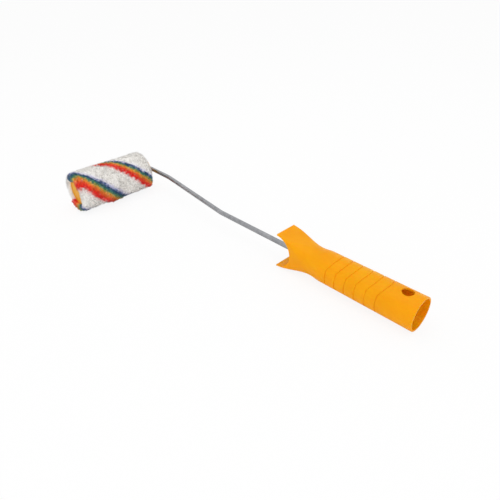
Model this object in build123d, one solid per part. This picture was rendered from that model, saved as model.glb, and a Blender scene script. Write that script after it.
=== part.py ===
"""A small paint roller: a pile sleeve that turns on a bent steel rod in a hollow forked handle.

Millimetres. The origin is the centre of the handle's open rear mouth. +X points out of that
mouth, away from the sleeve; +Z is up; the sleeve's axle runs along Y, and its closed end is at -Y.
"""
from build123d import *
import math
import os

# Driving dimensions of the sleeve
ROLLER_REACH = 427.1  # from the axle's centre line to the handle's rear mouth
PILE_LENGTH = 100.0
PILE_RADIUS = 26.1  # over the fibres
PILE_END_ROUNDING = 5.0
PILE_PAST_HANDLE = 4.5  # how far the sleeve reaches past the handle's centre line, towards +Y
CORE_RADIUS = 17.0
CORE_WALL = 1.6

# Driving dimensions of the sleeve's end pieces
OPEN_COLLAR_LENGTH = 5.3  # how far the inner end cap stands out of the pile
OPEN_DISH_RADIUS = 12.5
OPEN_DISH_DEPTH = 3.5
OPEN_WEB = 2.8
OPEN_SKIRT_DEPTH = 12.5
OPEN_HUB_LENGTH = 20.0
HUB_RADIUS = 6.0
SKIRT_WALL = 1.6
COLLAR_ROUNDING = 0.8
CLOSED_RECESS = 1.5  # how deep the closed cap's face lies in the pile
CLOSED_FLANGE = 2.2
CLOSED_SKIRT_DEPTH = 6.0
CLOSED_RIM_WIDTH = 2.6
CLOSED_RIM_DEPTH = 0.6
OUTER_HUB_DEPTH = 10.0  # from the closed flange's inner face to the hub's end face
OUTER_HUB_LENGTH = 14.0
OUTER_HUB_WEB = 2.5
OUTER_SKIRT_LENGTH = 9.0
RIB_COUNT = 6
RIB_THICKNESS = 1.4

# Driving dimensions of the rod
WIRE_DIAMETER = 5.5
COLLAR_TO_ROD = 3.5  # from the inner end cap's collar to the rod that passes beside it
WASHER_TO_BEND = 0.05
STRAIGHT_BESIDE_SLEEVE = 48.1  # from the axle's centre line to the first gentle bend
CRANK_LENGTH = 125.1  # along X, from the first gentle bend to the second
FIRST_BEND_RADIUS = 80.0
SECOND_BEND_RADIUS = 30.0
WIRE_END_CHAMFER = 0.6

# Driving dimensions of the small parts on the axle
STOP_WASHER_RADIUS = 7.0
STOP_WASHER_THICKNESS = 0.9
THRUST_WASHER_RADIUS = 6.5
THRUST_WASHER_THICKNESS = 1.0
PUSH_NUT_RADIUS = 6.0
PUSH_NUT_THICKNESS = 0.5
PUSH_NUT_DOME = 0.9
PUSH_NUT_NOTCHES = 4
AXLE_PAST_NUT = 1.5

# Driving dimensions of the handle
HANDLE_LENGTH = 152.9
REAR_RADIUS = 16.6
GRIP_FRONT_RADIUS = 16.3
GRIP_LENGTH = 98.0
NECK_RADIUS = 15.2
NECK_TAPER = 12.0
MOUTH_ROUNDING = 0.5
SOCKET_RADIUS = 14.75
SOCKET_DEPTH = 70.0
CORE_CAVITY_RADIUS = 13.2
FRONT_WEB_FROM_TIP = 30.0
FRONT_WEB_THICKNESS = 3.0
FORK_HALF_HEIGHT = 19.6
FORK_HALF_WIDTH = 13.4
FORK_CORNER = 0.9
FORK_WALL = 1.7
FORK_INNER_CORNER = 0.5
CORNER_SHARPENING = 1.15  # how much sooner than the tips the corners become crisp
FORK_STEPS = 7
FLAT_ANGLE = 4.0  # half the angle of each of the four short arcs that become the fork's flats
NOTCH_RADIUS = 18.0
HANG_HOLE_RADIUS = 5.5
HANG_HOLE_FROM_MOUTH = 15.2
GROOVE_COUNT = 6
GROOVE_PITCH = 10.85
FIRST_GROOVE = 35.0  # from the mouth
GROOVE_WIDTH = 1.0
GROOVE_DEPTH = 0.5
GROOVE_ARCH_RISE = 5.0  # how far each groove arches towards the mouth over the top of the grip
GROOVE_ARCH_HALF_WIDTH = 14.0  # where each groove turns from square across to its arch
BOSS_RADIUS = 6.2
BOSS_NOSE = 2.0  # how far the boss stands out of the front web
BOSS_CLOSED_END = 4.0
WIRE_GRIP_DEPTH = 34.0  # how far the rod goes into the boss
HANDLE_RIB_COUNT = 4
HANDLE_RIB_THICKNESS = 2.0

# Clearances
RUNNING_CLEARANCE = 0.06  # radial, between the axle and its bearings
WASHER_CLEARANCE = 0.25  # radial, between the axle and the loose washer
END_PLAY = 0.3  # between faces that turn past each other
GLUE_GAP = 0.05

# Sizes that follow
WIRE_RADIUS = WIRE_DIAMETER / 2
AXLE_X = -ROLLER_REACH
PILE_FAR = PILE_PAST_HANDLE
PILE_NEAR = PILE_FAR - PILE_LENGTH
CORE_BORE = CORE_RADIUS - CORE_WALL
SKIRT_RADIUS = CORE_BORE - GLUE_GAP
COLLAR_FACE = PILE_FAR + OPEN_COLLAR_LENGTH
DISH_FACE = COLLAR_FACE - OPEN_DISH_DEPTH
THRUST_FACE = DISH_FACE + END_PLAY
STOP_FACE = THRUST_FACE + THRUST_WASHER_THICKNESS
WIRE_SIDE_STEP = COLLAR_FACE + COLLAR_TO_ROD + WIRE_RADIUS  # the side run, from the handle's centre line
AXLE_BEND_RADIUS = WIRE_SIDE_STEP - STOP_FACE - STOP_WASHER_THICKNESS - WASHER_TO_BEND
CLOSED_FACE = PILE_NEAR + CLOSED_RECESS
CORE_NEAR = CLOSED_FACE + CLOSED_FLANGE
OUTER_HUB_FACE = CORE_NEAR + OUTER_HUB_DEPTH
NUT_FACE = OUTER_HUB_FACE - END_PLAY
AXLE_END = NUT_FACE - PUSH_NUT_DOME - PUSH_NUT_THICKNESS - AXLE_PAST_NUT
BEARING_BORE = WIRE_RADIUS + RUNNING_CLEARANCE
TIP_X = -HANDLE_LENGTH
NECK_X = -(GRIP_LENGTH + NECK_TAPER)
FORK_LENGTH = NECK_X - TIP_X
FRONT_WEB_FACE = TIP_X + FRONT_WEB_FROM_TIP
WIRE_END_X = FRONT_WEB_FACE + WIRE_GRIP_DEPTH
BOSS_END_X = WIRE_END_X + BOSS_CLOSED_END
PAST = 1.0  # how far a cutter runs past the face that it opens


def along_y(x, y, z=0.0):
    """A plane whose normal is +Y, for turned pieces on the axle."""
    return Plane(origin=(x, y, z), x_dir=(1, 0, 0), z_dir=(0, 1, 0))


def disc(radius, y_from, y_to):
    """A solid cylinder round the axle's centre line, between two places along Y."""
    return extrude(along_y(AXLE_X, y_from) * Circle(radius), y_to - y_from)


def ring(outer, inner, y_from, y_to):
    """A flat or long ring round the axle's centre line."""
    return disc(outer, y_from, y_to) - disc(inner, y_from - PAST, y_to + PAST)


def spokes(count, thickness, inner, outer, y_from, y_to):
    """Radial ribs between a hub and a skirt round the axle's centre line."""
    blades = []
    for turn in range(count):
        blade = Pos((inner + outer) / 2, 0, 0) * Box(outer - inner, thickness, y_to - y_from)
        place = along_y(AXLE_X, (y_from + y_to) / 2) * Rot(0, 0, turn * 360 / count)
        blades.append(place * blade)
    return blades


def cylinder_x(radius, x_from, x_to):
    """A solid cylinder on the handle's centre line."""
    plane = Plane(origin=(x_from, 0, 0), x_dir=(0, 1, 0), z_dir=(1, 0, 0))
    return extrude(plane * Circle(radius), x_to - x_from)


def make_pile_cover():
    """The fabric tube, with its fibres rounded over at both ends."""
    cover = disc(PILE_RADIUS, PILE_NEAR, PILE_FAR)
    cover = fillet(cover.edges().filter_by(GeomType.CIRCLE), PILE_END_ROUNDING)
    return cover - disc(CORE_RADIUS + GLUE_GAP, PILE_NEAR - PAST, PILE_FAR + PAST)


def make_core_tube():
    return ring(CORE_RADIUS, CORE_BORE, CORE_NEAR, PILE_FAR)


def make_inner_end_cap():
    """Collar with a dished face, a skirt inside the core, a ribbed hub and the bearing bore."""
    collar = disc(CORE_RADIUS, PILE_FAR, COLLAR_FACE)
    outer_rim = collar.edges().filter_by(GeomType.CIRCLE).sort_by(Axis.Y)[-1]
    collar = fillet(outer_rim, COLLAR_ROUNDING)
    skirt_end = PILE_FAR - OPEN_SKIRT_DEPTH
    web_back = DISH_FACE - OPEN_WEB
    body = collar + disc(SKIRT_RADIUS, skirt_end, PILE_FAR)
    body -= disc(OPEN_DISH_RADIUS, DISH_FACE, COLLAR_FACE + PAST)
    body -= disc(SKIRT_RADIUS - SKIRT_WALL, skirt_end - PAST, web_back)
    body += disc(HUB_RADIUS, DISH_FACE - OPEN_HUB_LENGTH, DISH_FACE)
    ribs = spokes(RIB_COUNT, RIB_THICKNESS, HUB_RADIUS - PAST, SKIRT_RADIUS - SKIRT_WALL / 2,
                  skirt_end + PAST, web_back)
    body = body.fuse(*ribs)
    return body - disc(BEARING_BORE, DISH_FACE - OPEN_HUB_LENGTH - PAST, COLLAR_FACE + PAST)


def make_outer_hub():
    """Bearing plug inside the closed end of the core."""
    near = OUTER_HUB_FACE
    body = ring(SKIRT_RADIUS, SKIRT_RADIUS - SKIRT_WALL, near, near + OUTER_SKIRT_LENGTH)
    body += disc(SKIRT_RADIUS - SKIRT_WALL / 2, near, near + OUTER_HUB_WEB)
    body += disc(HUB_RADIUS, near, near + OUTER_HUB_LENGTH)
    ribs = spokes(RIB_COUNT, RIB_THICKNESS, HUB_RADIUS - PAST, SKIRT_RADIUS - SKIRT_WALL / 2,
                  near + OUTER_HUB_WEB / 2, near + OUTER_SKIRT_LENGTH)
    body = body.fuse(*ribs)
    return body - disc(BEARING_BORE, near - PAST, near + OUTER_HUB_LENGTH + PAST)


def make_outer_end_cap():
    """Closed disc with a low rim, and a skirt that snaps into the core."""
    body = disc(CORE_RADIUS, CLOSED_FACE, CORE_NEAR)
    outer_rim = body.edges().filter_by(GeomType.CIRCLE).sort_by(Axis.Y)[0]
    body = fillet(outer_rim, COLLAR_ROUNDING)
    body -= disc(CORE_RADIUS - CLOSED_RIM_WIDTH, CLOSED_FACE - PAST, CLOSED_FACE + CLOSED_RIM_DEPTH)
    return body + ring(SKIRT_RADIUS, SKIRT_RADIUS - SKIRT_WALL, CORE_NEAR, CORE_NEAR + CLOSED_SKIRT_DEPTH)


def wire_path():
    """The rod's centre line: axle, right-angle bend, side run, crank, then into the handle."""
    first_bend_x = AXLE_X + STRAIGHT_BESIDE_SLEEVE
    corners = [
        (AXLE_X, AXLE_END, 0),
        (AXLE_X, WIRE_SIDE_STEP, 0),
        (first_bend_x, WIRE_SIDE_STEP, 0),
        (first_bend_x + CRANK_LENGTH, 0, 0),
        (WIRE_END_X, 0, 0),
    ]
    radii = [AXLE_BEND_RADIUS, FIRST_BEND_RADIUS, SECOND_BEND_RADIUS]
    return FilletPolyline(*corners, radius=radii)


def make_frame_wire():
    path = wire_path()
    rod = sweep(along_y(AXLE_X, AXLE_END) * Circle(WIRE_RADIUS), path=path)
    print("rod length", round(path.length, 1), "volume ratio",
          round(rod.volume / (path.length * math.pi * WIRE_RADIUS**2), 5))
    end_rims = rod.edges().filter_by(GeomType.CIRCLE)
    axle_rim = end_rims.sort_by(Axis.Y)[0]
    handle_rim = end_rims.sort_by(Axis.X)[-1]
    return chamfer([axle_rim, handle_rim], WIRE_END_CHAMFER)


def make_thrust_washer():
    """Loose plastic washer in the dish of the inner end cap."""
    return ring(THRUST_WASHER_RADIUS, WIRE_RADIUS + WASHER_CLEARANCE, THRUST_FACE, STOP_FACE)


def make_stop_washer():
    """Steel washer pressed on the axle, beside the right-angle bend."""
    return ring(STOP_WASHER_RADIUS, WIRE_RADIUS, STOP_FACE, STOP_FACE + STOP_WASHER_THICKNESS)


def make_push_nut():
    """Dished spring-steel disc whose notched teeth bite on the axle."""
    half = [
        (WIRE_RADIUS, NUT_FACE - PUSH_NUT_DOME),
        (WIRE_RADIUS, NUT_FACE - PUSH_NUT_DOME - PUSH_NUT_THICKNESS),
        (PUSH_NUT_RADIUS, NUT_FACE - PUSH_NUT_THICKNESS),
        (PUSH_NUT_RADIUS, NUT_FACE),
    ]
    outline = Polyline(*[(AXLE_X + r, y, 0) for r, y in half], close=True)
    axle = Axis((AXLE_X, 0, 0), (0, 1, 0))
    nut = revolve(make_face(outline), axle)
    tooth_reach = (WIRE_RADIUS + PUSH_NUT_RADIUS) / 2
    depth = 2 * (PUSH_NUT_DOME + PUSH_NUT_THICKNESS) + PAST
    for turn in range(PUSH_NUT_NOTCHES):
        slit = Pos(tooth_reach / 2, 0, 0) * Box(tooth_reach, PUSH_NUT_THICKNESS, depth)
        nut -= along_y(AXLE_X, NUT_FACE) * Rot(0, 0, turn * 360 / PUSH_NUT_NOTCHES + 45) * slit
    return nut


def split_circle(radius):
    """A circle cut into eight arcs, so that it has the same edges as a rounded rectangle."""
    arcs = []
    for quarter in range(4):
        middle = quarter * 90
        arcs.append(CenterArc((0, 0), radius, middle - FLAT_ANGLE, 2 * FLAT_ANGLE))
        arcs.append(CenterArc((0, 0), radius, middle + FLAT_ANGLE, 90 - 2 * FLAT_ANGLE))
    return make_face(arcs)


def fork_section(x, inset=0.0):
    """A cross-section of the fork: round at the neck, a tall rectangle with crisp corners at the tips."""
    plane = Plane(origin=(x, 0, 0), x_dir=(0, 1, 0), z_dir=(1, 0, 0))
    share = (NECK_X - x) / FORK_LENGTH
    if share <= 0:
        return plane * split_circle(NECK_RADIUS - inset)
    half_height = NECK_RADIUS + (FORK_HALF_HEIGHT - NECK_RADIUS) * share**2 - inset
    half_width = NECK_RADIUS + (FORK_HALF_WIDTH - NECK_RADIUS) * share - inset
    blend = min(1.0, CORNER_SHARPENING * share)
    blend = blend * blend * (3 - 2 * blend)
    corner = NECK_RADIUS * (1 - blend) + FORK_CORNER * blend
    corner = max(corner - inset, FORK_INNER_CORNER)
    return plane * RectangleRounded(2 * half_width, 2 * half_height, corner)


def fork_loft(x_from, x_to, inset=0.0):
    """The fork's outside, or with an inset its inside, from one place to another towards the tips."""
    step = (x_to - x_from) / FORK_STEPS
    return loft([fork_section(x_from + step * i, inset) for i in range(FORK_STEPS + 1)])


def grip_radius(x):
    """The grip's outside radius, which tapers slightly towards the neck."""
    return REAR_RADIUS + (GRIP_FRONT_RADIUS - REAR_RADIUS) * -x / GRIP_LENGTH


def turned_grip(inset):
    """The grip between its first and last groove, as a tapered bar under the surface by the inset."""
    rear_x = PAST - FIRST_GROOVE + GROOVE_ARCH_RISE
    front_x = -FIRST_GROOVE - GROOVE_COUNT * GROOVE_PITCH
    outline = Polyline(
        (rear_x, 0),
        (rear_x, grip_radius(rear_x) - inset),
        (front_x, grip_radius(front_x) - inset),
        (front_x, 0),
        close=True,
    )
    return revolve(make_face(outline), Axis.X)


def groove_cutter(x):
    """One groove, deep through the grip: square across below, and an arch in plan over the top."""
    reach = REAR_RADIUS + PAST
    join_z = math.sqrt(grip_radius(x) ** 2 - GROOVE_ARCH_HALF_WIDTH**2)
    square_height = join_z + reach
    square = Pos(x, 0, join_z - square_height / 2) * Box(GROOVE_WIDTH, 2 * reach, square_height)
    radius = (GROOVE_ARCH_HALF_WIDTH**2 + GROOVE_ARCH_RISE**2) / (2 * GROOVE_ARCH_RISE)
    arch = Circle(radius + GROOVE_WIDTH / 2) - Circle(radius - GROOVE_WIDTH / 2)
    arch = extrude(Pos(x + GROOVE_ARCH_RISE - radius, 0, join_z) * arch, reach - join_z)
    window_length = GROOVE_ARCH_RISE + 2 * GROOVE_WIDTH
    window = Pos(x + GROOVE_ARCH_RISE / 2, 0, 0) * Box(window_length, 2 * reach, 2 * reach)
    return square + (arch & window)


def make_grip_body():
    """The turned grip from the mouth to the neck, with its rim rounded and its arched grooves."""
    rear = Line((0, 0), (0, REAR_RADIUS))
    side = Line((0, REAR_RADIUS), (-GRIP_LENGTH, GRIP_FRONT_RADIUS))
    taper = Bezier(
        (-GRIP_LENGTH, GRIP_FRONT_RADIUS),
        (-GRIP_LENGTH - NECK_TAPER * 0.4, GRIP_FRONT_RADIUS),
        (NECK_X + NECK_TAPER * 0.4, NECK_RADIUS),
        (NECK_X, NECK_RADIUS),
    )
    front = Line((NECK_X, NECK_RADIUS), (NECK_X, 0))
    centre = Line((NECK_X, 0), (0, 0))
    body = revolve(make_face([rear, side, taper, front, centre]), Axis.X)
    mouth_rim = body.edges().filter_by(GeomType.CIRCLE).sort_by(Axis.X)[-1]
    body = fillet(mouth_rim, MOUTH_ROUNDING)
    core = turned_grip(GROOVE_DEPTH)
    for number in range(GROOVE_COUNT):
        body -= groove_cutter(-FIRST_GROOVE - number * GROOVE_PITCH) - core
    return body


def make_fork():
    """The open-ended fork: hollow up to its front web, with the round notch cut through its sides."""
    body = fork_loft(NECK_X, TIP_X) - fork_loft(FRONT_WEB_FACE, TIP_X, FORK_WALL)
    notch_plane = Plane(origin=(TIP_X, 0, 0), x_dir=(1, 0, 0), z_dir=(0, 1, 0))
    return body - extrude(notch_plane * Circle(NOTCH_RADIUS), NECK_RADIUS + PAST, both=True)


def make_handle():
    """Hollow moulding: rear socket, ribbed boss that grips the rod, front web and open fork."""
    web_back = FRONT_WEB_FACE + FRONT_WEB_THICKNESS
    body = make_grip_body() + make_fork()
    body -= cylinder_x(SOCKET_RADIUS, -SOCKET_DEPTH, PAST)
    body -= cylinder_x(CORE_CAVITY_RADIUS, web_back, -SOCKET_DEPTH + PAST)
    body += cylinder_x(BOSS_RADIUS, FRONT_WEB_FACE - BOSS_NOSE, BOSS_END_X)
    rib_reach = CORE_CAVITY_RADIUS + HANDLE_RIB_THICKNESS / 4
    rib_length = WIRE_END_X - web_back
    for turn in range(HANDLE_RIB_COUNT):
        rib = Pos(0, 0, rib_reach / 2) * Box(rib_length, HANDLE_RIB_THICKNESS, rib_reach)
        angle = turn * 360 / HANDLE_RIB_COUNT + 45
        body += Pos((web_back + WIRE_END_X) / 2, 0, 0) * Rot(angle, 0, 0) * rib
    body -= cylinder_x(WIRE_RADIUS, FRONT_WEB_FACE - BOSS_NOSE - PAST, WIRE_END_X)
    hole = Cylinder(HANG_HOLE_RADIUS, 2 * (REAR_RADIUS + PAST))
    return body - Pos(-HANG_HOLE_FROM_MOUTH, 0, 0) * hole


PARTS = {
    "pile_cover": make_pile_cover,
    "core_tube": make_core_tube,
    "inner_end_cap": make_inner_end_cap,
    "outer_hub": make_outer_hub,
    "outer_end_cap": make_outer_end_cap,
    "frame_wire": make_frame_wire,
    "thrust_washer": make_thrust_washer,
    "stop_washer": make_stop_washer,
    "push_nut": make_push_nut,
    "handle": make_handle,
}

os.makedirs("parts", exist_ok=True)
for name, make in PARTS.items():
    export_step(make(), f"parts/{name}.step")
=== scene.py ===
"""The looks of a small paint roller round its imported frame. Blender 4.5, metres."""
import math

import bpy
import numpy as np
from mathutils import Matrix, Vector, kdtree


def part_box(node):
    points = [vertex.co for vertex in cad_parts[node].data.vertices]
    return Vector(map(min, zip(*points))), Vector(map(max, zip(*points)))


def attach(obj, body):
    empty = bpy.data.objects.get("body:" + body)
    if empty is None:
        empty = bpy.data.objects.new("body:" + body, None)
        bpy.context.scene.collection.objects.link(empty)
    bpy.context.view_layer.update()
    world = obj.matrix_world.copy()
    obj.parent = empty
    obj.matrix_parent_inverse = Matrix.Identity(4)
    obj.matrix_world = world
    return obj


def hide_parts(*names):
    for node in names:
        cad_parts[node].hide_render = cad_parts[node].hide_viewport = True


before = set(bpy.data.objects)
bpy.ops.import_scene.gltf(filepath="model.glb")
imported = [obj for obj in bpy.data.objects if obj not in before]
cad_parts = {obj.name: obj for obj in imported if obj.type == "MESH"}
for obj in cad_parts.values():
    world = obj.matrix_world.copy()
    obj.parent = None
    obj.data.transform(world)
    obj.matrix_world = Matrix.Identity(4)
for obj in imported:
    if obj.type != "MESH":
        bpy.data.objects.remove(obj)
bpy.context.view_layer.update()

MM = 0.001

# Camera, at the photograph's viewing angle
CAMERA_PLACE = Vector((0.0985, -0.2990, 0.2551))
CAMERA_AIM = Vector((-0.1679, -0.0369, 0.0045))
CAMERA_ROLL = math.radians(-0.5)
CAMERA_LENS = 31.92
CAMERA_CLIP = (0.01, 50)
SENSOR_WIDTH = 36.0

# Pile: sizes in metres, angles measured round the axle from +Z towards the handle
ROW_PITCH = 2.2 * MM  # between the courses of tufts, which follow the bands
TUFT_PITCH = 2.3 * MM  # from tuft to tuft along a course
TUFT_OFFSET = 0.3  # how far a tuft may be out of its place, as a share of the pitch along its course
ROW_OFFSET = 0.22  # the same across the courses
TUFT_HEIGHTS = (0.5, 1.0)
TUFT_DEPTH = 2.9 * MM
TUFT_SWELL = 2.4 * MM
DOME_REACH = 0.75  # how far from its middle a tuft's dome reaches, in pitches
MASS_GRID = 0.6 * MM
COMB_DRIFT = 0.14  # how far the tufts lean together and each by itself, as shares of their depth
COMB_STRAY = 0.15
# The waves in which they lean together, one for each direction: how far the wave's angle goes for
# each metre along the sleeve and for each radian round it, and where it starts
COMB_WAVES = [(190, 2.1, 0), (140, 3.0, 1 + math.pi / 2), (110, -2.0, 2)]
FIBRES_PER_TUFT = 13
FIBRE_WIDTH = 0.42 * MM
FIBRE_SPREAD = 0.6  # how far from its tuft's middle a fibre may root, in pitches
FIBRE_LENGTHS = (0.84, 1.05)
SHORTEST_TUFT = 0.78  # how tall a tuft of no height stands, as a share of the pile's depth
HEIGHT_SHARE = 0.22  # how much more the tallest tuft has
FIBRE_STRAY = 0.12  # how far a fibre leans by itself, as a share of its tuft's depth
FIBRE_GATHER = 0.3  # how much of the way a fibre's tip leans back to its tuft's middle
# A fibre's rings of three corners, and its tip: how far up it each is and how wide it is there
FIBRE_RINGS = ((0.15, 1.0), (0.6, 0.85), (1.0, 0.0))
FIBRE_FACES = [
    (0, 1, 4), (0, 4, 3), (1, 2, 5), (1, 5, 4), (2, 0, 3), (2, 3, 5),
    (3, 4, 6), (4, 5, 6), (5, 3, 6),
]
FIBRE_POINTS = 7
# Where a fibre's points lie on the map from its root's place, so that each of its faces has some area
MAP_STEP = 0.12 * MM
MAP_PLACES = [(0, 0), (1, 0), (0, 1), (0, 2), (1, 2), (2, 1), (2, 2)]
FIBRE_SHADES = 0.1  # how much darker the darkest fibre of a tuft is
TUFT_SHADES = 0.15  # how much darker the darkest dyed tuft is
WHITE_SHADES = 0.05
STRAY_SHARE = 0.12  # how many of a band's tufts have white yarn mixed in
STRAY_WHITE = 0.12
RIM_LAP = 0.9 * MM  # how far the near end's tufts close in over the closed cap's edge
HEM_WIDTH = 0.5 * MM  # the near end's hem, tucked behind the closed cap's edge
HEM_GAP = 0.15 * MM  # between the hem and the core
END_THINNING = 0.3  # how much of the pile's depth is left at its very ends
THINNED_SHARE = 0.6  # how much of each end's turn the thinning takes up
COLLAR_GAP = 0.3 * MM  # between the far end's tufts and the open cap's collar
NEAR_FRINGE = 2.2 * MM  # how far the end tufts fan out past the fabric's ends
FAR_FRINGE = 2.4 * MM
END_DEPTH = 6.5 * MM
END_TURN = math.radians(140)  # how far round the pile turns in over each end
END_SLANT = 0.2  # how much of the bands' slant goes on over the near edge
SEAM_ANGLE = math.radians(-45)
SEAM_HALF_WIDTH = 2.2 * MM
SEAM_DIP = 1.2 * MM
BAND_SLOPE = 0.42 * MM  # metres along the sleeve for each degree round it
# Each band's red edge and navy edge, along the sleeve on the line straight above the axle
BANDS = [(-0.1850, -0.1530), (-0.1205, -0.0932), (-0.0568, -0.0355)]
BAND_RAGGED = 0.9 * MM  # how far a tuft's place may be out, so that bands have ragged edges
BAND_SWELL_PLACES = [-0.08, 0.08, 0.55, 1.04]  # across a band, from its red edge to its navy edge
BAND_SWELL = [0.0, 1.9 * MM, 1.2 * MM, 0.0]  # how far the dyed yarn stands above the white there
SWELL_FROM = (math.radians(-35), math.radians(50))  # the bands lie flatter on the far side of the top
# Where the pile is brushed towards the far end: how far, then the middle and spread of the place
# along the sleeve and in degrees round it
BRUSHED = [
    (6.5 * MM, -0.0977, 12 * MM, 10, 90),
    (11 * MM, -0.0977, 12 * MM, -32, 19),
    (8 * MM, -0.0700, 10 * MM, -38, 24),
]
TUFT_LIFT = 2.4 * MM  # how far the brushed pile stands up over the top of the near rim
LIFT_ANGLE = math.radians(-14)
LIFT_SPREAD = math.radians(20)
LIFT_REACH = 10 * MM
FAN_REACH = 2.2 * MM  # how far the near end's pile fans out further on the handle's side
FAN_ANGLE = math.radians(85)
FAN_SPREAD = math.radians(42)
PILE_PIECES = 4
PILE_SEED = 11

# Finishes and stage
SKIN_GRAIN = 0.02 * MM  # how deep a moulding's orange peel is
DRAW_GRAIN = 0.03 * MM  # how deep the scratches along drawn steel are
FUZZ_GRAIN = 0.15 * MM
HANDLE_GLOW = 4 * MM  # how far light gets into the handle's plastic
FLOOR_SIZE = 60
FLOOR_GAP = 0.2 * MM
FLOOR_WHITE = (0.95, 0.95, 0.95, 1)
FLOOR_SEEN_WHITE = 0.88  # how much of the floor that the camera sees is plain white, the rest being lit
WORLD_LEVEL = 0.82
WORLD_SEEN_LEVEL = 1.0
LAMP_AIM = (-0.2, -0.02, 0.0)
LAMPS = [  # each lamp's name, place, width and power
    ("key", (-0.15, -0.2, 1.4), 1.4, 4.6),
    ("fill", (0.7, -1.0, 0.25), 1.0, 1.7),
]


# ---------------------------------------------------------------- materials


def new_material(name):
    """A node material, its Principled shader, a helper that adds nodes and the tree's link function."""
    material = bpy.data.materials.new(name)
    material.use_nodes = True
    tree = material.node_tree
    shader = tree.nodes["Principled BSDF"]

    def add(kind, **inputs):
        node = tree.nodes.new(kind)
        for key, value in inputs.items():
            socket = node.inputs[key.replace("_", " ")]
            if isinstance(value, bpy.types.NodeSocket):
                tree.links.new(value, socket)
            else:
                socket.default_value = value
        return node

    return material, shader, add, tree.links.new


def srgb(red, green, blue):
    """A linear colour from its 8-bit display values."""
    def one(value):
        value /= 255
        return value / 12.92 if value <= 0.04045 else ((value + 0.055) / 1.055) ** 2.4
    return (one(red), one(green), one(blue), 1.0)


def ramp(add, factor, stops):
    """A colour ramp with its stops as (place, colour)."""
    node = add("ShaderNodeValToRGB", Fac=factor)
    elements = node.color_ramp.elements
    while len(elements) > 1:
        elements.remove(elements[-1])
    elements[0].position, elements[0].color = stops[0]
    for place, colour in stops[1:]:
        elements.new(place).color = colour
    return node.outputs["Color"]


def maths(add, operation, first, second=0.0, third=0.0):
    node = add("ShaderNodeMath")
    node.operation = operation
    for socket, value in zip(node.inputs, (first, second, third)):
        if isinstance(value, bpy.types.NodeSocket):
            node.id_data.links.new(value, socket)
        else:
            socket.default_value = value
    return node.outputs[0]


def mapped(add, scale):
    """Object coordinates, stretched by scale."""
    place = add("ShaderNodeTexCoord")
    stretch = add("ShaderNodeMapping", Vector=place.outputs["Object"])
    stretch.inputs["Scale"].default_value = scale
    return stretch.outputs["Vector"]


def noise(add, vector, scale, detail=4.0, rough=0.55):
    return add("ShaderNodeTexNoise", Vector=vector, Scale=scale, Detail=detail, Roughness=rough)


def bump(add, height, distance):
    return add("ShaderNodeBump", Height=height, Distance=distance, Strength=1.0).outputs["Normal"]


def moulded_plastic(name, light, dark, roughness, glow_depth=0.0):
    """Satin injection-moulded plastic: cloudy colour, orange-peel skin and uneven gloss."""
    material, shader, add, link = new_material(name)
    everywhere = mapped(add, (1, 1, 1))
    clouds = noise(add, everywhere, 45, 5).outputs["Fac"]
    link(ramp(add, clouds, [(0.32, dark), (0.68, light)]), shader.inputs["Base Color"])
    peel = noise(add, everywhere, 900, 3).outputs["Fac"]
    flow = noise(add, mapped(add, (0.25, 1, 1)), 240, 4).outputs["Fac"]
    link(maths(add, "MULTIPLY_ADD", flow, 0.16, roughness - 0.08), shader.inputs["Roughness"])
    link(bump(add, peel, SKIN_GRAIN), shader.inputs["Normal"])
    shader.inputs["IOR"].default_value = 1.49
    shader.inputs["Specular IOR Level"].default_value = 0.12
    if glow_depth:
        shader.inputs["Subsurface Weight"].default_value = 0.3
        shader.inputs["Subsurface Radius"].default_value = (1.0, 0.35, 0.05)
        shader.inputs["Subsurface Scale"].default_value = glow_depth
    return material


def plated_steel(name, colour_low, colour_high, along=(1, 1, 1)):
    """Drawn steel under dull zinc: fine scratches along the metal and cloudy grey plating."""
    material, shader, add, link = new_material(name)
    shader.inputs["Metallic"].default_value = 1.0
    clouds = noise(add, mapped(add, (1, 1, 1)), 150, 5, 0.6).outputs["Fac"]
    link(ramp(add, clouds, [(0.3, colour_low), (0.7, colour_high)]), shader.inputs["Base Color"])
    draw = noise(add, mapped(add, along), 1500, 3, 0.6).outputs["Fac"]
    link(maths(add, "MULTIPLY_ADD", clouds, 0.2, 0.26), shader.inputs["Roughness"])
    link(bump(add, draw, DRAW_GRAIN), shader.inputs["Normal"])
    return material


def pile_material():
    """Knitted pile: each yarn in its own dye, with faint cloudiness and fuzz."""
    material, shader, add, link = new_material("pile_yarn")
    dye = add("ShaderNodeAttribute")
    dye.attribute_name = "dye"
    clouds = noise(add, mapped(add, (1, 1, 1)), 160, 4).outputs["Fac"]
    tone = add("ShaderNodeHueSaturation", Color=dye.outputs["Color"])
    link(maths(add, "MULTIPLY_ADD", clouds, 0.1, 0.94), tone.inputs["Value"])
    link(tone.outputs["Color"], shader.inputs["Base Color"])
    fuzz = noise(add, mapped(add, (1, 1, 1)), 1400, 2).outputs["Fac"]
    link(maths(add, "MULTIPLY_ADD", fuzz, 0.2, 0.75), shader.inputs["Roughness"])
    link(bump(add, fuzz, FUZZ_GRAIN), shader.inputs["Normal"])
    shader.inputs["Sheen Weight"].default_value = 0.3
    shader.inputs["Sheen Roughness"].default_value = 0.5
    shader.inputs["Specular IOR Level"].default_value = 0.15
    return material


# ---------------------------------------------------------------- pile


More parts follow.
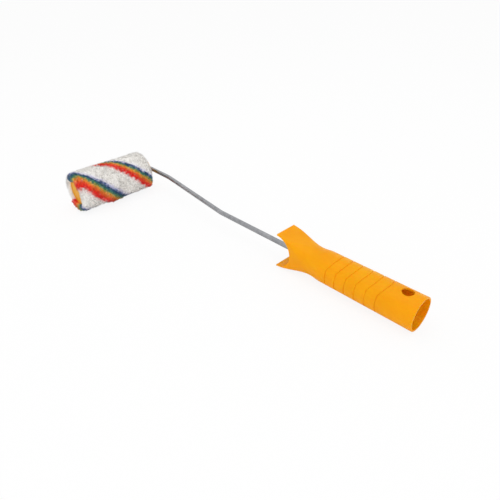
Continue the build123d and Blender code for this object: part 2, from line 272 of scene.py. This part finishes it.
# The dyes across a band, from 0 at its red edge to 1 at its navy edge, with stained white beside it
BAND_DYES = [
    (-0.28, srgb(254, 251, 246)),
    (-0.12, srgb(254, 238, 235)),
    (-0.05, srgb(252, 206, 202)),
    (0.00, srgb(250, 130, 120)),
    (0.03, srgb(248, 44, 40)),
    (0.15, srgb(250, 48, 36)),
    (0.27, srgb(252, 84, 42)),
    (0.38, srgb(253, 128, 54)),
    (0.48, srgb(250, 158, 60)),
    (0.55, srgb(226, 178, 74)),
    (0.62, srgb(174, 168, 74)),
    (0.69, srgb(98, 152, 110)),
    (0.78, srgb(50, 116, 120)),
    (0.87, srgb(42, 86, 122)),
    (0.95, srgb(62, 86, 134)),
    (0.99, srgb(150, 160, 206)),
    (1.05, srgb(218, 216, 240)),
    (1.14, srgb(245, 242, 247)),
    (1.28, srgb(254, 251, 246)),
]


def unit(vectors):
    return vectors / np.linalg.norm(vectors, axis=-1, keepdims=True)


class PileShape:
    """The outline of the pile's tips: a turned profile that rolls over and in at both ends."""

    def __init__(self):
        low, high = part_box("pile_cover")
        core_low, core_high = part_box("core_tube")
        self.x = (low[0] + high[0]) / 2
        self.radius = (high[2] - low[2]) / 2
        self.core_radius = (core_high[2] - core_low[2]) / 2
        across = self.radius - self.core_radius
        self.near_roll = (across + RIM_LAP) / (1 - math.cos(END_TURN))
        self.far_roll = (across - COLLAR_GAP) / (1 - math.cos(END_TURN))
        self.arc = END_TURN * (self.near_roll + END_DEPTH) / 2
        self.near = low[1] - NEAR_FRINGE
        self.straight_from = self.near + END_DEPTH
        self.straight = high[1] + FAR_FRINGE - END_DEPTH - self.straight_from
        self.length = self.straight + 2 * self.arc

    def tips(self, travel, angle):
        """Points on the tips' surface and their outward normals, for a travel from near to far."""
        near_turn = (1 - np.clip(travel / self.arc, 0, 1)) * END_TURN
        far_turn = np.clip((travel - self.arc - self.straight) / self.arc, 0, 1) * END_TURN
        rolled = self.near_roll * (1 - np.cos(near_turn)) + self.far_roll * (1 - np.cos(far_turn))
        radius = self.radius - rolled
        axial = np.sin(far_turn) - np.sin(near_turn)
        off_fan = np.mod(angle - FAN_ANGLE + math.pi, 2 * math.pi) - math.pi
        fan = FAN_REACH * np.exp(-((off_fan / FAN_SPREAD) ** 2)) * np.sin(near_turn) ** 2
        y = self.straight_from + np.clip(travel - self.arc, 0, self.straight) + END_DEPTH * axial - fan
        around = np.stack([np.sin(angle), np.zeros_like(angle), np.cos(angle)], -1)
        points = around * radius[:, None] + np.stack([0 * y + self.x, y, 0 * y], -1)
        normals = around * np.cos(near_turn + far_turn)[:, None]
        normals[:, 1] = axial
        return points, normals

    def depth(self, travel):
        """How deep the pile is: full along the sleeve, and thinner where it closes in at the ends."""
        from_end = np.minimum(travel, self.length - travel)
        return TUFT_DEPTH * np.interp(from_end, (0, self.arc * THINNED_SHARE), (END_THINNING, 1))


def slanted(shape, travel, angle):
    """Where the course through a point crosses the line straight above the axle, along the sleeve."""
    turned = np.degrees(np.mod(angle - SEAM_ANGLE, 2 * math.pi) + SEAM_ANGLE)
    past_edge = np.clip(shape.arc - travel, 0, None)
    y = shape.straight_from - shape.arc + travel + past_edge * (1 - END_SLANT)
    brushed = np.zeros(len(y))
    for shift, along, reach, around, spread in BRUSHED:
        brushed += shift * np.exp(-(((y - along) / reach) ** 2) - ((turned - around) / spread) ** 2)
    return y - brushed - BAND_SLOPE * turned


def dyes(u, rng):
    """The linear colours of tufts whose courses lie at u, and how far they stand above the white."""
    places = np.array([place for place, _ in BAND_DYES])
    steps = np.array([colour[:3] for _, colour in BAND_DYES])
    colours = np.tile(steps[0], (len(u), 1))
    proud = np.zeros(len(u))
    for red_edge, navy_edge in BANDS:
        share = (u - red_edge) / (navy_edge - red_edge)
        inside = (share > places[0]) & (share < places[-1])
        mixed = np.stack([np.interp(share, places, step) for step in steps.T], -1)
        colours = np.where(inside[:, None], mixed, colours)
        proud += np.interp(share, BAND_SWELL_PLACES, BAND_SWELL)
    fade = np.where(proud > 0, TUFT_SHADES, WHITE_SHADES) * rng.uniform(0, 1, len(u))
    mixed_in = (rng.uniform(0, 1, len(u)) < STRAY_SHARE) * STRAY_WHITE
    colours += (steps[0] - colours) * mixed_in[:, None]
    return colours * (1 - fade)[:, None], proud


def lay_tufts(shape, rng):
    """The tufts' places: courses that follow the bands, with the tufts a little out of line."""
    circumference = 2 * math.pi * shape.radius
    climb = BAND_SLOPE * 360 / circumference  # along the sleeve, for each metre round it
    slant = math.hypot(1, climb)
    rows = math.ceil((shape.length + climb * circumference) / (ROW_PITCH * slant))
    columns = round(circumference * slant / TUFT_PITCH)
    row, column = np.meshgrid(np.arange(rows), np.arange(columns), indexing="ij")
    row, column = row.ravel(), column.ravel()
    off = rng.uniform(-TUFT_OFFSET, TUFT_OFFSET, row.shape)
    around = (column + row % 2 / 2 + off) / columns * circumference
    start = row + 0.5 + rng.uniform(-ROW_OFFSET, ROW_OFFSET, row.shape)
    travel = start * ROW_PITCH * slant + climb * (around - circumference)
    inside = (travel > 0) & (travel < shape.length)
    return travel[inside], SEAM_ANGLE + around[inside] / shape.radius


def mesh_piece(name, points, faces, colours, material):
    """A smooth mesh that carries its yarns' colours, riding on the roller."""
    mesh = bpy.data.meshes.new(name)
    mesh.from_pydata(points.tolist(), [], faces.tolist())
    mesh.update()
    dye = np.concatenate([colours, np.ones((len(colours), 1))], -1)
    attribute = mesh.attributes.new("dye", "FLOAT_COLOR", "POINT")
    attribute.data.foreach_set("color", dye.astype(np.float32).ravel())
    mesh.polygons.foreach_set("use_smooth", np.ones(len(mesh.polygons), bool))
    mesh.materials.append(material)
    piece = bpy.data.objects.new(name, mesh)
    bpy.context.collection.objects.link(piece)
    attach(piece, "roller")
    return piece


def map_unrolled(piece, shape, travel, angle):
    """A map of the unrolled sleeve, so that a bake gives each fibre its root's colours."""
    layer = piece.data.uv_layers.new(name="OFBake")
    corners = np.empty(len(piece.data.loops), np.int32)
    piece.data.loops.foreach_get("vertex_index", corners)
    across = np.mod(angle - SEAM_ANGLE, 2 * math.pi) / (2 * math.pi)
    flat = np.stack([across[corners], travel[corners] / shape.length], -1)
    layer.uv.foreach_set("vector", flat.astype(np.float32).ravel())


def sheet_faces(rows, around):
    """The four-cornered faces of a sheet that is closed round the axle, row after row of points."""
    start = np.arange(rows - 1)[:, None] * around
    first = (start + np.arange(around)).ravel()
    second = (start + np.roll(np.arange(around), -1)).ravel()
    return np.stack([first, second, second + around, first + around], -1)


def make_pile_mass(shape, tufts, material):
    """The close body of the pile: a turned sheet that swells into a dome at each tuft, with a hem."""
    rows = round(shape.length / MASS_GRID)
    around = round(2 * math.pi * shape.radius / MASS_GRID)
    travel, angle = np.meshgrid(
        np.linspace(HEM_WIDTH, shape.length, rows), np.arange(around) * 2 * math.pi / around, indexing="ij"
    )
    travel, angle = travel.ravel(), angle.ravel()
    points, normals = shape.tips(travel, angle)
    centres, _ = shape.tips(tufts["travel"], tufts["angle"])
    tree = kdtree.KDTree(len(centres))
    for number, centre in enumerate(centres):
        tree.insert(centre, number)
    tree.balance()
    found = [tree.find(point) for point in points]
    nearest = np.array([item[1] for item in found])
    gap = np.array([item[2] for item in found]) / (TUFT_PITCH * DOME_REACH)
    dome = np.sqrt(np.clip(1 - gap**2, 0, 1)) * tufts["height"][nearest]
    sunk = shape.depth(travel) * (1 - TUFT_SWELL / TUFT_DEPTH * dome)
    points = points - normals * (sunk - tufts["proud"][nearest])[:, None]
    hem_angle = angle[:around]
    hem = np.stack([np.sin(hem_angle), 0 * hem_angle, np.cos(hem_angle)], -1)
    hem = hem * (shape.core_radius + HEM_GAP) + (shape.x, shape.straight_from, 0)
    points = np.concatenate([hem, points])
    travel = np.concatenate([np.zeros(around), travel])
    angle = np.concatenate([hem_angle, angle])
    nearest = np.concatenate([nearest[:around], nearest])
    faces = sheet_faces(rows + 1, around)
    piece = mesh_piece("pile_body", points, faces, tufts["dye"][nearest], material)
    map_unrolled(piece, shape, travel, angle)
    return piece


def comb(centres, angle, rng):
    """Which way each tuft leans: slow drifts over the sleeve, and a little of its own."""
    drift = np.stack([
        np.sin(centres[:, 1] * along + angle * round_it + start) for along, round_it, start in COMB_WAVES
    ], -1)
    return COMB_DRIFT * drift + rng.normal(0, COMB_STRAY, centres.shape)


def make_fibres(name, shape, tufts, rng, material):
    """Bent, tapering fibres that stand in each tuft and lean together."""
    angle_t = tufts["angle"]
    count = len(angle_t) * FIBRES_PER_TUFT
    tuft = np.repeat(np.arange(len(angle_t)), FIBRES_PER_TUFT)
    reach = TUFT_PITCH * FIBRE_SPREAD * np.sqrt(rng.uniform(0, 1, count))
    way = rng.uniform(0, 2 * math.pi, count)
    travel = np.clip(tufts["travel"][tuft] + reach * np.cos(way), 0, shape.length)
    angle = angle_t[tuft] + reach * np.sin(way) / shape.radius
    tips, normals = shape.tips(travel, angle)
    centres, _ = shape.tips(tufts["travel"], angle_t)
    inward = centres[tuft] - tips
    lean = (comb(centres, angle_t, rng)[tuft] + rng.normal(0, FIBRE_STRAY, (count, 3))) * TUFT_DEPTH
    depth = shape.depth(travel)
    stature = SHORTEST_TUFT + HEIGHT_SHARE * tufts["height"][tuft]
    tall = depth * stature * rng.uniform(*FIBRE_LENGTHS, count) * tufts["cut"][tuft]
    roots = tips - normals * (depth - tufts["proud"][tuft])[:, None]
    side = unit(np.cross(normals, rng.normal(0, 1, (count, 3))))
    third = np.cross(normals, side)
    levels = []
    for share, width in FIBRE_RINGS:
        bend = (lean + FIBRE_GATHER * inward) * share**2
        middle = roots + normals * (tall * share)[:, None] + bend
        arms = 3 if width else 1
        for turn in range(arms):
            bearing = turn * 2 * math.pi / 3
            arm = side * math.cos(bearing) + third * math.sin(bearing)
            levels.append(middle + arm * FIBRE_WIDTH * width / 2)
    points = np.stack(levels, 1).reshape(-1, 3)
    faces = (np.arange(count)[:, None, None] * FIBRE_POINTS + np.array(FIBRE_FACES)).reshape(-1, 3)
    shade = rng.uniform(1 - FIBRE_SHADES, 1, count)
    colours = np.repeat(tufts["dye"][tuft] * shade[:, None], FIBRE_POINTS, axis=0)
    piece = mesh_piece(name, points, faces, colours, material)
    along, round_it = np.tile(np.array(MAP_PLACES) * MAP_STEP, (count, 1)).T
    map_travel = np.repeat(travel, FIBRE_POINTS) + along
    map_angle = np.repeat(angle, FIBRE_POINTS) + round_it / shape.radius
    map_unrolled(piece, shape, map_travel, map_angle)


def make_pile():
    """The tufts' places, colours and heights, and from them the pile's body and its fibres."""
    rng = np.random.default_rng(PILE_SEED)
    shape = PileShape()
    material = pile_material()
    travel, angle = lay_tufts(shape, rng)
    ragged = rng.normal(0, BAND_RAGGED, len(travel))
    dye, proud = dyes(slanted(shape, travel, angle) + ragged, rng)
    off_top = np.mod(angle + math.pi / 2, 2 * math.pi) - math.pi / 2
    from_near = travel / LIFT_REACH
    lift = TUFT_LIFT * np.exp(-from_near**2 - ((off_top - LIFT_ANGLE) / LIFT_SPREAD) ** 2)
    from_seam = np.abs(np.mod(angle - SEAM_ANGLE + math.pi, 2 * math.pi) - math.pi) * shape.radius
    flattened = np.clip(1 - from_seam / SEAM_HALF_WIDTH, 0, 1)
    tufts = {
        "travel": travel,
        "angle": angle,
        "dye": dye,
        "proud": proud * np.interp(off_top, SWELL_FROM, (0, 1)) + lift - SEAM_DIP * flattened,
        "cut": 1 - flattened / 2,
        "height": rng.uniform(*TUFT_HEIGHTS, len(travel)),
    }
    mass = make_pile_mass(shape, tufts, material)
    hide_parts("pile_cover")
    for number in range(PILE_PIECES):
        share = travel * PILE_PIECES / shape.length
        chosen = (share >= number) & (share < number + 1)
        part = {key: values[chosen] for key, values in tufts.items()}
        make_fibres(f"pile_fibres_{number + 1}", shape, part, rng, material)


# ---------------------------------------------------------------- finishes of the CAD pieces


def dress(node, material):
    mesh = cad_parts[node].data
    mesh.materials.clear()
    mesh.materials.append(material)


def dress_frame():
    handle = moulded_plastic("handle_yellow", srgb(250, 168, 4), srgb(244, 158, 0), 0.42, HANDLE_GLOW)
    cap = moulded_plastic("cap_ochre", srgb(240, 174, 62), srgb(226, 160, 52), 0.45)
    core = moulded_plastic("core_natural", srgb(226, 222, 210), srgb(212, 208, 198), 0.5)
    nylon = moulded_plastic("washer_nylon", srgb(235, 233, 226), srgb(222, 220, 212), 0.4)
    rod = plated_steel("rod_zinc", srgb(140, 141, 144), srgb(168, 169, 172), (0.05, 1, 1))
    steel = plated_steel("washer_steel", srgb(150, 151, 153), srgb(184, 184, 186))
    spring = plated_steel("spring_steel", srgb(96, 98, 104), srgb(132, 134, 140))
    finishes = {
        "handle": handle, "inner_end_cap": cap, "outer_end_cap": cap, "core_tube": core,
        "outer_hub": core, "thrust_washer": nylon, "frame_wire": rod, "stop_washer": steel,
        "push_nut": spring,
    }
    for node, material in finishes.items():
        dress(node, material)


# ---------------------------------------------------------------- stage


def floor_heights():
    """The two places that the tool rests on: under the sleeve and under the handle's mouth."""
    pile_low, pile_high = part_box("pile_cover")
    handle_low, handle_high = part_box("handle")
    sleeve_x = (pile_low[0] + pile_high[0]) / 2
    mouth_radius = (handle_high[1] - handle_low[1]) / 2
    return (sleeve_x, pile_low[2]), (handle_high[0], -mouth_radius)


def make_floor():
    """A pale floor, tilted so that the tool's two feet both rest on it."""
    (sleeve_x, sleeve_z), (mouth_x, mouth_z) = floor_heights()
    tilt = math.atan2(mouth_z - sleeve_z, mouth_x - sleeve_x)
    bpy.ops.mesh.primitive_plane_add(size=FLOOR_SIZE)
    floor = bpy.context.object
    floor.name = "floor"
    floor.location = (sleeve_x, 0, sleeve_z - FLOOR_GAP)
    floor.rotation_euler = (0, -tilt, 0)
    material = bpy.data.materials.new("floor_white")
    material.use_nodes = True
    nodes, link = material.node_tree.nodes, material.node_tree.links.new
    nodes.clear()
    matt = nodes.new("ShaderNodeBsdfDiffuse")
    matt.inputs["Color"].default_value = FLOOR_WHITE
    glow = nodes.new("ShaderNodeEmission")
    path = nodes.new("ShaderNodeLightPath")
    share = nodes.new("ShaderNodeMath")
    share.operation = "MULTIPLY"
    share.inputs[1].default_value = FLOOR_SEEN_WHITE
    mix = nodes.new("ShaderNodeMixShader")
    out = nodes.new("ShaderNodeOutputMaterial")
    link(path.outputs["Is Camera Ray"], share.inputs[0])
    link(share.outputs[0], mix.inputs["Fac"])
    link(matt.outputs[0], mix.inputs[1])
    link(glow.outputs[0], mix.inputs[2])
    link(mix.outputs[0], out.inputs["Surface"])
    floor.data.materials.append(material)


def make_world():
    """A white surround, a little dimmer for the light it casts than where it is seen."""
    world = bpy.data.worlds.new("studio")
    bpy.context.scene.world = world
    world.use_nodes = True
    nodes, link = world.node_tree.nodes, world.node_tree.links.new
    back = nodes["Background"]
    back.inputs["Color"].default_value = (1, 1, 1, 1)
    path = nodes.new("ShaderNodeLightPath")
    seen = nodes.new("ShaderNodeMath")
    seen.operation = "MAXIMUM"
    seen_through = nodes.new("ShaderNodeMath")
    seen_through.operation = "MAXIMUM"
    link(path.outputs["Is Transmission Ray"], seen_through.inputs[0])
    link(path.outputs["Is Glossy Ray"], seen_through.inputs[1])
    link(path.outputs["Is Camera Ray"], seen.inputs[0])
    link(seen_through.outputs[0], seen.inputs[1])
    level = nodes.new("ShaderNodeMapRange")
    level.inputs["To Min"].default_value = WORLD_LEVEL
    level.inputs["To Max"].default_value = WORLD_SEEN_LEVEL
    link(seen.outputs[0], level.inputs["Value"])
    link(level.outputs["Result"], back.inputs["Strength"])


def soft_light(name, place, width, power):
    """A round soft lamp that faces the middle of the tool."""
    light = bpy.data.lights.new(name, "AREA")
    light.shape = "DISK"
    light.size = width
    light.energy = power
    lamp = bpy.data.objects.new(name, light)
    bpy.context.collection.objects.link(lamp)
    lamp.location = place
    lamp.rotation_euler = (Vector(LAMP_AIM) - Vector(place)).to_track_quat("-Z", "Y").to_euler()


def make_stage():
    make_floor()
    make_world()
    for name, place, width, power in LAMPS:
        soft_light(name, place, width, power)


def make_camera():
    lens = bpy.data.cameras.new("camera")
    lens.sensor_width = SENSOR_WIDTH
    lens.lens = CAMERA_LENS
    lens.clip_start, lens.clip_end = CAMERA_CLIP
    camera = bpy.data.objects.new("camera", lens)
    bpy.context.collection.objects.link(camera)
    aim = (CAMERA_AIM - CAMERA_PLACE).to_track_quat("-Z", "Y").to_matrix().to_4x4()
    camera.matrix_world = Matrix.Translation(CAMERA_PLACE) @ aim @ Matrix.Rotation(CAMERA_ROLL, 4, "Z")
    bpy.context.scene.camera = camera


bpy.context.scene.view_settings.view_transform = "Standard"
make_camera()
make_stage()
dress_frame()
make_pile()
